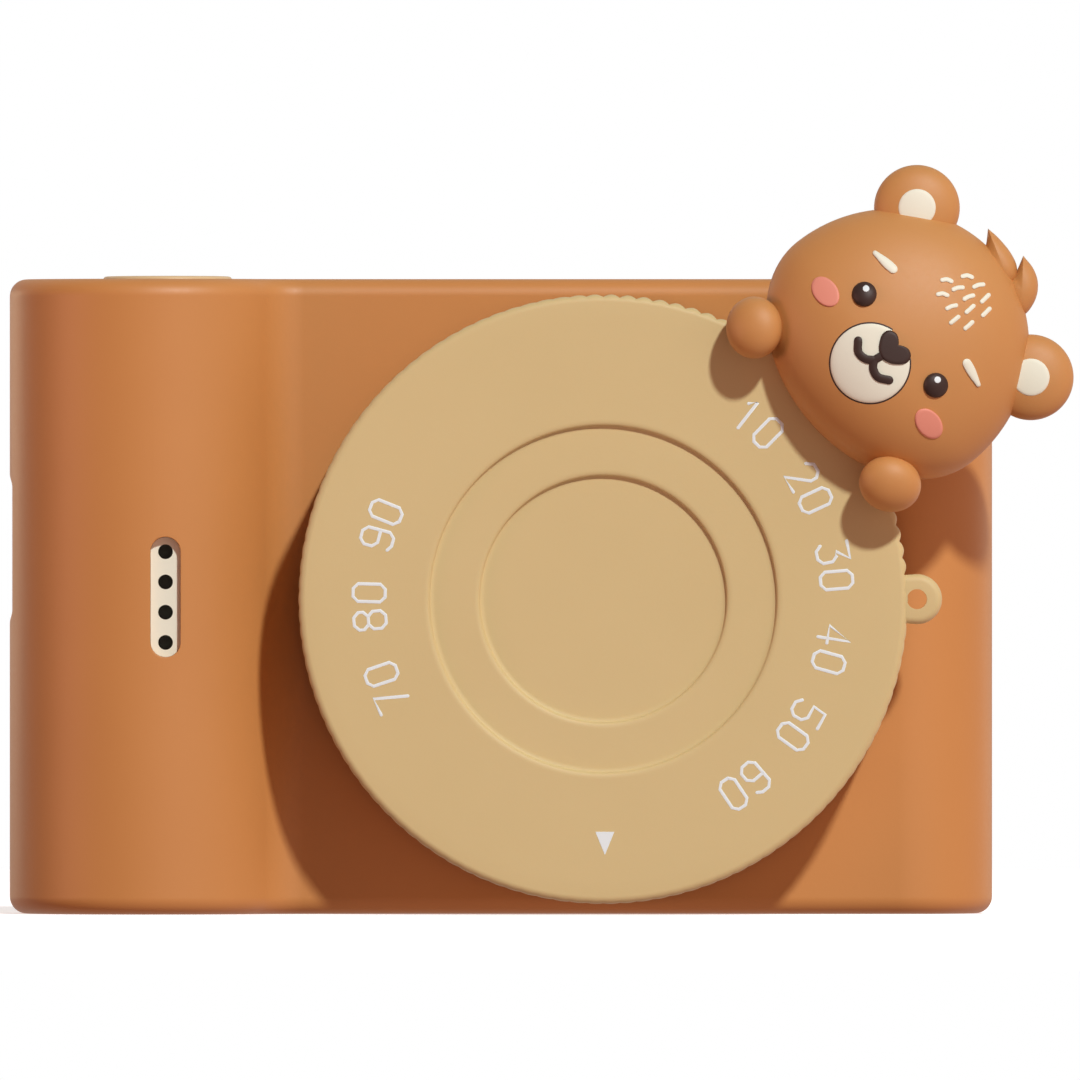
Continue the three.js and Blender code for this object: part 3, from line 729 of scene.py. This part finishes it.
SCREW_HEAD, SCREW_SHANK_R, CROSS_LONG, CROSS_SHORT = 9.0, 1.0, 1.15, 0.22
SCREW_PROFILE = [(0, SCREW_HEAD + 0.75)]
SCREW_PROFILE += [(SCREW_R * math.sin(math.radians(a)), SCREW_HEAD + 0.75 * math.cos(math.radians(a)))
                  for a in range(15, 91, 15)]
SCREW_PROFILE += [(SCREW_R, 8.0), (SCREW_SHANK_R, 8.0), (SCREW_SHANK_R, -2.0), (0, -2.0)]
for i, (x, z) in enumerate(SCREWS, 1):
    screw = lathe(f"housing_screw_{i}_detail", SCREW_PROFILE, x, z, 48)
    for wide, tall in ((CROSS_LONG, CROSS_SHORT), (CROSS_SHORT, CROSS_LONG)):
        boolean(screw, block("cross", x - wide, x + wide, SCREW_HEAD + 0.1, 12, z - tall, z + tall))
    show(screw, STEEL, "camera_body", [f"housing_screw_{i}"])

GLASS_LEVELS = [(REAR - 1, 0), (REAR - 0.2, 0), (REAR - 0.06, -0.05), (REAR, -0.2)]
show(prism("screen_glass", screen_outline(-0.05), GLASS_LEVELS), GLASS, "camera_body",
     ["screen_window"])


# ---------------------------------------------------------------- lens cap

def rib_depth(angle):
    """How far the rim is scooped between its grip ribs: deep on the upper right, faint elsewhere."""
    turn = math.degrees(angle) % 360
    window = min(1.0, max(0.0, (turn + 4) / 10 if turn < 180 else (turn - 356) / 10))
    if 45 < turn < 180:
        window = min(1.0, max(0.0, (98 - turn) / 10))
    depth = 0.07 + 0.30 * window
    wave = abs(math.cos(angle * RIBS / 2))
    return depth * (1 - wave ** 0.8)


def cap_profile():
    """(r, y, share of the ribs) from the middle of the face, over the rim and back inside."""
    front, rim = CAP_FRONT, 0.75
    outer = [(0, front + 2 * CAP_STEP, 0), (6, front + 2 * CAP_STEP, 0)]
    for r, face in ((12.3, front + CAP_STEP), (17.3, front)):
        floor_y = face + CAP_STEP
        outer += [(r - 0.5, floor_y, 0), (r - 0.12, floor_y, 0), (r, floor_y - 0.1, 0),
                  (r + 0.04, face + 0.2, 0), (r + 0.12, face + 0.1, 0), (r + 0.28, face + 0.03, 0),
                  (r + 0.5, face, 0), (r + 0.7, face, 0), (r + 1.2, face, 0)]
    outer += [(22 + 1.2 * i, front, 0) for i in range(6)]
    for a in range(0, 91, 10):
        t = math.radians(a)
        outer.append((CAP_R - rim + rim * math.sin(t), front + rim - rim * math.cos(t), (a / 90) ** 1.5))
    outer += [(CAP_R, CAP_REAR - 0.5, 1.0), (CAP_R - 0.15, CAP_REAR - 0.12, 0.6),
              (CAP_R - 0.5, CAP_REAR, 0.0)]
    inner = [(28.7, CAP_REAR, 0), (28.2, CAP_REAR + 0.02, 0), (28.2, RING_END, 0), (19.8, RING_END, 0),
             (19.4, -19.9, 0), (14.8, -19.9, 0), (14.4, -19.35, 0), (0, -19.35, 0)]
    return outer + fillet(inner, 0.3, 3)


def tab(grow):
    """The eyelet's outline: a tongue from inside the rim with a round end."""
    r = EYELET_R + grow
    root = r - 0.2
    return ([(EYELET_ROOT, LENS_Z - root)] + arc(EYELET_X, LENS_Z, r, -90, 90, 32)
            + [(EYELET_ROOT, LENS_Z + root)])


def tab_levels():
    """A rounded front edge, straight sides and a small bevel at the back."""
    front, rim = -22.25, 0.7
    turns = [math.radians(a) for a in range(90, -1, -15)]
    levels = [(front + rim * (1 - math.sin(t)), -rim * (1 - math.cos(t))) for t in turns]
    return levels + [(-20.2, 0), (-19.9, -0.1), (-19.8, -0.3)]


cap = lathe("lens_cap_cup", cap_profile(), LENS_X, LENS_Z, RIBS * 8, rib_depth)
eyelet = prism("eyelet", tab, tab_levels())
boolean(eyelet, lathe("eyelet_hole", [(0, -24), (1.0, -24), (1.0, -18), (0, -18)], EYELET_X, LENS_Z, 48))
with_eyelet = bmesh.new()
with_eyelet.from_mesh(cap.data)
with_eyelet.from_mesh(eyelet.data)
with_eyelet.to_mesh(cap.data)
with_eyelet.free()
bpy.data.objects.remove(eyelet, do_unlink=True)
show(cap, BEIGE, "lens_cap", ["lens_cap"], CAP_EDGE)


def on_cap(p, h):
    return (LENS_X + p.x, CAP_FRONT - h, LENS_Z + p.y)


# Strokes of the figures of a plain dial scale, 1.1 wide and 2 high
DIGITS = {
    "0": [[(0.3, 0), (0, 0.3), (0, 1.7), (0.3, 2), (0.8, 2), (1.1, 1.7), (1.1, 0.3), (0.8, 0), (0.3, 0)]],
    "1": [[(0.2, 1.6), (0.6, 2), (0.6, 0)]],
    "2": [[(0, 1.6), (0.3, 2), (0.8, 2), (1.1, 1.7), (1.1, 1.3), (0, 0.0), (1.1, 0)]],
    "3": [[(0, 2), (1.1, 2), (0.5, 1.2), (0.8, 1.2), (1.1, 0.9), (1.1, 0.3), (0.8, 0), (0.3, 0), (0, 0.3)]],
    "4": [[(0.8, 0), (0.8, 2), (0, 0.6), (1.1, 0.6)]],
    "5": [[(1.1, 2), (0.1, 2), (0, 1.15), (0.8, 1.15), (1.1, 0.85), (1.1, 0.3), (0.8, 0), (0.3, 0),
           (0, 0.3)]],
    "6": [[(1.1, 1.8), (0.8, 2), (0.3, 2), (0, 1.7), (0, 0.3), (0.3, 0), (0.8, 0), (1.1, 0.3), (1.1, 0.8),
           (0.8, 1.1), (0, 1.1)]],
    "7": [[(0, 2), (1.1, 2), (0.35, 0)]],
    "8": [[(0.3, 1.1), (0, 1.4), (0, 1.7), (0.3, 2), (0.8, 2), (1.1, 1.7), (1.1, 1.4), (0.8, 1.1), (0.3, 1.1),
           (0, 0.8), (0, 0.3), (0.3, 0), (0.8, 0), (1.1, 0.3), (1.1, 0.8), (0.8, 1.1)]],
    "9": [[(0, 0.2), (0.3, 0), (0.8, 0), (1.1, 0.3), (1.1, 1.7), (0.8, 2), (0.3, 2), (0, 1.7), (0, 1.2),
           (0.3, 0.9), (1.1, 0.9)]],
}
FIGURE_HIGH, FIGURE_WIDE, FIGURE_PITCH, PRINT_R = 3.2, 1.76, 2.75, 21.75
PRINT_MIDDLE_R = 23.3


def printed_scale(name, text, start):
    """Figures along the cap's rim from a start angle, clockwise, with their tops outwards."""
    for i, letter in enumerate(text):
        if letter == " ":
            continue
        mid = math.radians(start) - i * FIGURE_PITCH / PRINT_MIDDLE_R
        out = Vector((math.cos(mid), math.sin(mid)))
        along = Vector((math.sin(mid), -math.cos(mid)))
        for k, stroke in enumerate(DIGITS[letter]):
            path = [out * (PRINT_R + v * FIGURE_HIGH / 2) + along * (u / 1.1 - 0.5) * FIGURE_WIDE
                    for u, v in stroke]
            ribbon(f"{name}_{i}_{k}", path, 0.175, on_cap, 0.03, PRINT_AND_GLINT, "lens_cap")


printed_scale("scale_right", "10 20 30 40 50 60", 52)
printed_scale("scale_left", "70 80 90", 205.5)
MARK_X = LENS_X + 0.17
MARK = [(MARK_X - 0.95, 8.3), (MARK_X + 0.95, 8.3), (MARK_X, 6.0)]
show(prism("index_mark", lambda grow: MARK, [(CAP_FRONT + 0.02, 0), (CAP_FRONT - 0.03, 0)]), PRINT_AND_GLINT,
     "lens_cap", ())


# ---------------------------------------------------------------- bear

def bear(a, b, f):
    """From the bear's own axes to the camera's."""
    return (BEAR_X + a * A_AXIS[0] + b * B_AXIS[0], -f, BEAR_Z + a * A_AXIS[1] + b * B_AXIS[1])


def head_radius(angle):
    """Distance from the head's middle to its outline."""
    tall = CROWN if math.sin(angle) >= 0 else CHIN
    return 1 / math.hypot(math.cos(angle) / HEAD_HALF, math.sin(angle) / tall)


def face_depth(a, b, lift=0.0):
    """Depth f of the face's surface at (a, b)."""
    angle = math.atan2(b - HEAD_CENTRE, a)
    share = min(0.999, math.hypot(a, b - HEAD_CENTRE) / head_radius(angle))
    return HEAD_MIDDLE + FACE * math.sqrt(1 - share ** 2) + lift


def ball(name, place, around=96, along=48):
    """A closed rounded form: place(angle, share, side) for rings from the front pole to the back pole."""
    rows = []
    for k in range(along + 1):
        t = math.pi * k / along
        rows.append([place(2 * math.pi * i / around, math.sin(t), math.cos(t)) for i in range(around)])
    return raw(name, *grid(rows, caps=False))


def head_point(angle, share, side):
    r = share * head_radius(angle)
    return bear(r * math.cos(angle), HEAD_CENTRE + r * math.sin(angle),
                HEAD_MIDDLE + side * (FACE if side > 0 else NAPE))


show(ball("bear_head_form", head_point, 128, 64), CARAMEL_SOFT, "lens_cap", ["bear_head"],
     ROUND_EDGE)


def ellipsoid(name, a, b, f, ra, rb, rf, turn=0.0, power=1.0, lean=(0.0, 0.0)):
    """A rounded form on the bear's axes; lean slopes it forward towards one side."""
    c, s = math.cos(math.radians(turn)), math.sin(math.radians(turn))

    def place(angle, share, side):
        u, v = share * math.cos(angle) * ra, share * math.sin(angle) * rb
        across, along = u * c - v * s, u * s + v * c
        deep = math.copysign(abs(side) ** power, side) * rf + across * lean[0] + along * lean[1]
        return bear(a + across, b + along, f + deep)
    return ball(name, place)


for side, a, b, turn, lean in PAWS:
    paw = ellipsoid(f"bear_paw_{side}_form", a, b, PAW_MIDDLE, 3.1, 2.8, PAW_DEEP, turn, 0.75, lean)
    show(paw, CARAMEL_SOFT, "lens_cap", [f"bear_paw_{side}"], ROUND_EDGE)


def oval(a, b, ra, rb, steps=64):
    turns = [2 * math.pi * i / steps for i in range(steps)]
    return [(a + ra * math.cos(t), b + rb * math.sin(t)) for t in turns]


def inlay(name, centre, outline, lift, material, stands_for, domed=False, depth=face_depth):
    """A raised patch that follows the surface under it, with a rounded edge."""
    ca, cb = centre
    rings = [0.02, 0.2, 0.4, 0.6, 0.75, 0.85, 0.91, 0.955, 0.985, 1.0]
    rows = []
    for share in rings:
        if domed:
            high = lift * math.sqrt(max(0.0, 1 - share ** 2))
        else:
            edge = max(0.0, (share - 0.85) / 0.15)
            high = lift * math.sqrt(max(0.0, 1 - edge ** 2))
        row = []
        for a, b in outline:
            pa, pb = ca + (a - ca) * share, cb + (b - cb) * share
            row.append(bear(pa, pb, depth(pa, pb) + high))
        rows.append(row)
    rows.append([bear(a, b, depth(a, b) - 0.5) for a, b in outline])
    return show(raw(name, *grid(rows)), material, "lens_cap", stands_for, ROUND_EDGE)


def muzzle_outline(r):
    """A circle whose top is cut back under the nose."""
    return [(max(-1.0, min(1.6, a)), -1.0) if -1.15 < a < 2.1 and b > -1 else (a, b)
            for a, b in oval(*MUZZLE, r, r, 160)]


# Painted shadow: a thin dark brown ring just outside the muzzle stands for the shade in the gap around it
inlay("muzzle_gap_shade", MUZZLE, muzzle_outline(GAP_SHADE_R), 0.02, BROWN, ())
inlay("bear_muzzle_patch", MUZZLE, muzzle_outline(MUZZLE_R), MUZZLE_LIFT, CREAM, ["bear_muzzle"])


def muzzle_depth(a, b, lift=0.0):
    return face_depth(a, b, MUZZLE_LIFT + lift)


def catmull(points, steps=8):
    """A smooth path through points."""
    pts = [Vector(p) for p in points]
    pts = [pts[0] * 2 - pts[1]] + pts + [pts[-1] * 2 - pts[-2]]
    out = []
    for p0, p1, p2, p3 in zip(pts, pts[1:], pts[2:], pts[3:]):
        for i in range(steps):
            t = i / steps
            out.append(0.5 * (2 * p1 + (p2 - p0) * t + (2 * p0 - 5 * p1 + 4 * p2 - p3) * t ** 2
                              + (3 * p1 - p0 - 3 * p2 + p3) * t ** 3))
    return out + [pts[-2]]


# Half of the nose's outline, about its middle
NOSE_RIGHT = [(0.0, 0.81), (0.36, 1.1), (0.93, 1.33), (1.55, 1.15), (1.87, 0.66), (1.79, 0.0), (1.17, -0.78),
              (0.5, -1.2), (0.0, -1.3)]


def nose_outline():
    """A soft heart: two lobes towards the forehead and a blunt tip at the mouth."""
    half = [p + Vector(NOSE) for p in catmull(NOSE_RIGHT, 5)]
    other = [Vector((2 * NOSE[0] - p.x, p.y)) for p in reversed(half[1:-1])]
    return half + other


inlay("bear_nose_patch", NOSE, nose_outline(), 0.3, BROWN, ["bear_nose"], depth=muzzle_depth)


def on_muzzle(p, h):
    return bear(p.x, p.y, muzzle_depth(p.x, p.y, h))


def on_face(p, h):
    return bear(p.x, p.y, face_depth(p.x, p.y, h))


STEM = [(0.2, -2.0), (0.08, -2.7), (0, -3.35)]
ribbon("bear_mouth_stem", STEM, 0.42, on_muzzle, 0.2, BROWN, "lens_cap")
for side, word in ((-1, "right"), (1, "left")):
    smile = catmull([(0, -3.3), (side * 0.65, -3.9), (side * 1.6, -4.02), (side * 2.5, -3.35)])
    ribbon(f"bear_mouth_{word}", smile, 0.43, on_muzzle, 0.2, BROWN, "lens_cap")

# Each brow is a bar that is thickest near its inner end
BROW_STEPS = 8
BROW_HALVES = [0.22 + 0.27 * math.sin(math.pi * (0.62 - 0.55 * i / BROW_STEPS)) ** 1.5
               for i in range(BROW_STEPS + 1)]
for side, word in ((-1, "right"), (1, "left")):
    a = side * EYE_A
    inlay(f"bear_eye_{word}_bead", (a, 0), oval(a, 0, EYE_R, EYE_R), EYE_LIFT, BROWN,
          [f"bear_eye_{word}"], domed=True)
    # Painted highlight: a small white dot on each eye, a little up and to the right, where the key light
    # glints
    ga = a + 0.17 * A_AXIS[0] + 0.55 * A_AXIS[1]
    gb = 0.17 * B_AXIS[0] + 0.55 * B_AXIS[1]

    def eye_depth(pa, pb, a=a):
        near = min(1.0, math.hypot(pa - a, pb) / EYE_R)
        return face_depth(pa, pb) + EYE_LIFT * math.sqrt(1 - near ** 2)
    inlay(f"bear_glint_{word}", (ga, gb), oval(ga, gb, 0.33, 0.33), 0.05, PRINT_AND_GLINT, (),
          depth=eye_depth)
    ca = side * CHEEK_A
    inlay(f"bear_cheek_{word}_patch", (ca, CHEEK_B), oval(ca, CHEEK_B, 1.67, 1.2), 0.2, CORAL,
          [f"bear_cheek_{word}"])
    t = math.radians(-side * 10)
    along = Vector((math.cos(t), math.sin(t))) * side
    inner = Vector((side * BROW_A, BROW_B)) - along * 1.15
    outer = Vector((side * BROW_A, BROW_B)) + along * 1.25
    steps = [inner.lerp(outer, i / BROW_STEPS) for i in range(BROW_STEPS + 1)]
    brow = ribbon(f"bear_brow_{word}_bar", steps, BROW_HALVES, on_face, 0.22, CREAM, "lens_cap")
    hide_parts(f"bear_brow_{word}")

# Short dashes of fur across the forehead: a, b, slant in degrees, number and step of each column
COLUMNS = [(-1.75, 7.3, 46, 2, (0.95, 1.85)), (-0.9, 6.1, 44, 1, (0, 0)), (-0.45, 7.7, 26, 2, (1.05, 1.8)),
           (0.6, 6.05, 19, 2, (0.3, 1.95)), (1.8, 5.5, -1, 3, (0.1, 1.87)), (3.1, 6.27, -4, 2, (0.03, 2.2))]
dash = 0
for a, b, lean, count, step in COLUMNS:
    for k in range(count):
        slant = math.radians(lean - 3 * k)
        along = Vector((math.sin(slant), math.cos(slant)))
        mid = Vector((a + step[0] * k, b + step[1] * k))
        bow = Vector((along.y, -along.x)) * -0.0028 * lean
        path = catmull([mid - along * 0.46, mid + bow, mid + along * 0.46], 4)
        dash += 1
        ribbon(f"bear_dash_{dash}", path, 0.23, on_face, 0.14, CREAM, "lens_cap")

for side, a, b in EARS:
    ear = ellipsoid(f"bear_ear_{side}_form", a, b, EAR_MIDDLE, EAR_R, EAR_R, EAR_DEEP, 0, EAR_POWER)
    show(ear, CARAMEL_SOFT, "lens_cap", [f"bear_ear_{side}"], ROUND_EDGE)

    def ear_depth(pa, pb, a=a, b=b):
        near = min(1.0, math.hypot(pa - a, pb - b) / EAR_R)
        return EAR_MIDDLE + EAR_DEEP * (1 - near ** 2) ** (EAR_POWER / 2)
    inlay(f"bear_ear_pad_{side}_patch", (a, b), oval(a, b, 1.86, 1.86), 0.1, CREAM,
          [f"bear_ear_pad_{side}"], depth=ear_depth)


def pillow(name, outline, centre, middle, thick, material, stands_for):
    """A flat cushion form inside an outline of (a, b) points."""
    ca, cb = centre
    shares = [0.02, 0.3, 0.55, 0.75, 0.88, 0.96, 1.0]
    rows = []
    for sign, order in ((1, shares), (-1, shares[-2::-1])):
        for share in order:
            high = sign * thick * math.sqrt(max(0.0, 1 - share ** 2.2))
            rows.append([bear(ca + (p.x - ca) * share, cb + (p.y - cb) * share, middle + high)
                         for p in outline])
    return show(raw(name, *grid(rows)), material, "lens_cap", stands_for, ROUND_EDGE)


front_leaf = catmull([(-3.3, 13.8), (-1.9, 14.05), (-0.2, 14.1), (1.3, 13.8), (2.3, 13.0), (2.6, 11.8)])
front_leaf += catmull([(2.6, 11.8), (0.5, 11.2), (-1.5, 11.8), (-2.2, 12.7), (-3.3, 13.8)])[1:-1]
back_leaf = catmull([(1.0, 14.9), (2.6, 14.9), (4.0, 14.4), (5.1, 13.3), (5.7, 11.7), (5.4, 10.6)])
back_leaf += catmull([(5.4, 10.6), (3.6, 10.6), (2.2, 11.9), (1.9, 13.2), (1.0, 14.9)])[1:-1]
pillow("bear_tuft_front_leaf", front_leaf, (0.6, 12.6), HEAD_MIDDLE + 0.2, 1.5, CARAMEL_SOFT,
       ["bear_tuft_front"])
pillow("bear_tuft_back_leaf", back_leaf, (3.7, 12.6), HEAD_MIDDLE + 0.1, 1.5, CARAMEL_SOFT,
       ["bear_tuft_back"])


# ---------------------------------------------------------------- finishes of the CAD pieces that stay

KEPT = {
    BLACK: ["lens_holder", "image_sensor", "memory_card", "shutter_switch", "speaker"],
    SCREEN: ["lcd_panel"],
    BOARD: ["main_board", "key_board"],
    MAT: ["key_mat"],
    STEEL: ["usb_socket", "card_socket", "board_screw_1", "board_screw_2", "key_board_screw_1",
            "key_board_screw_2"],
    FOIL: ["battery"],
}
for material, names in KEPT.items():
    for name in names:
        NODES[name].data.materials.clear()
        NODES[name].data.materials.append(material)


# ---------------------------------------------------------------- floor, light and camera

def stage_material():
    made, tree, shader = plain("pale_floor")
    tint = tinted(tree, noise(tree, scale=6, detail=2), (0.90, 0.90, 0.90), (0.93, 0.93, 0.93))
    wire(tree, tint, "Color", shader, "Base Color")
    shader.inputs["Roughness"].default_value = 0.9
    shader.inputs["Emission Color"].default_value = (1, 1, 1, 1)
    shader.inputs["Emission Strength"].default_value = 0.55
    return made


floor = raw("floor", *grid([[(x, y, -0.02) for x, y in circle(0, 0, r)] for r in (1, 600)], caps=False))
floor.data.materials.append(stage_material())
floor.visible_diffuse = False
floor.visible_glossy = False


CENTRE = Vector((0.0039, 0.0, 0.0374))
WARM = (1.0, 0.99, 0.97)
BOUNCE = (1.0, 0.60, 0.52)
GLOW = (1.0, 0.46, 0.40)
RIM = (1.0, 0.76, 0.46)


def area(name, towards, far, size, power, colour):
    """A round soft light that looks at the middle of the object from the direction towards."""
    data = bpy.data.lights.new(name, "AREA")
    data.shape = "DISK"
    data.size = size
    data.energy = power
    data.color = colour
    lamp = bpy.data.objects.new(name, data)
    lamp.location = CENTRE + Vector(towards).normalized() * far
    lamp.rotation_euler = Vector(towards).to_track_quat("Z", "Y").to_euler()
    bpy.context.scene.collection.objects.link(lamp)


area("key", (0.307, -0.731, 0.607), far=3.0, size=0.19, power=68, colour=WARM)
area("fill_left", (-0.93, -0.36, -0.05), far=1.0, size=0.4, power=4.2, colour=GLOW)
area("rim_left", (-0.66, 0.74, 0.1), far=0.7, size=0.2, power=0.55, colour=RIM)
area("rim_right", (0.68, 0.72, -0.1), far=0.7, size=0.2, power=0.3, colour=RIM)

world = bpy.data.worlds.new("studio")
bpy.context.scene.world = world
world.use_nodes = True
sky = world.node_tree
for old in list(sky.nodes):
    sky.nodes.remove(old)
direction = node(sky, "ShaderNodeTexCoord")


def graded(towards, given, wanted, colour):
    """Background light whose strength follows its direction."""
    facing = node(sky, "ShaderNodeVectorMath", operation="DOT_PRODUCT")
    facing.inputs[1].default_value = Vector(towards).normalized()
    wire(sky, direction, "Generated", facing, 0)
    made = node(sky, "ShaderNodeBackground")
    made.inputs["Color"].default_value = (*colour, 1)
    wire(sky, remap(sky, facing, "Value", given, wanted), "Result", made, "Strength")
    return made


WHITE = (1, 1, 1)
PALE = (0.8, 0.8, 0.8)
bounced = graded((0.80, -0.42, -0.43), given=(-0.1, 1.0), wanted=(0.04, 0.78), colour=BOUNCE)
backdrop = graded((0, 1, 0), given=(0.1, 0.7), wanted=(0.0, 0.7), colour=PALE)
lighting = node(sky, "ShaderNodeAddShader")
wire(sky, bounced, "Background", lighting, 0)
wire(sky, backdrop, "Background", lighting, 1)
# The camera itself sees plain white behind the object
seen = node(sky, "ShaderNodeBackground")
seen.inputs["Color"].default_value = (*WHITE, 1)
both = node(sky, "ShaderNodeMixShader")
wire(sky, node(sky, "ShaderNodeLightPath"), "Is Camera Ray", both, 0)
wire(sky, lighting, "Shader", both, 1)
wire(sky, seen, "Background", both, 2)
wire(sky, both, "Shader", node(sky, "ShaderNodeOutputWorld"), "Surface")

# Width of the picture at the front wall, in metres
VIEW_WIDTH = 0.108
lens = bpy.data.cameras.new("view")
lens.sensor_width = 36
lens.lens = 1500
lens.clip_start = 1
lens.clip_end = 40
eye = bpy.data.objects.new("view", lens)
eye.location = (CENTRE.x, FRONT * MM - VIEW_WIDTH * lens.lens / lens.sensor_width, CENTRE.z)
eye.rotation_euler = (math.radians(90), 0, 0)
bpy.context.scene.collection.objects.link(eye)
bpy.context.scene.camera = eye
bpy.context.scene.view_settings.view_transform = "Standard"
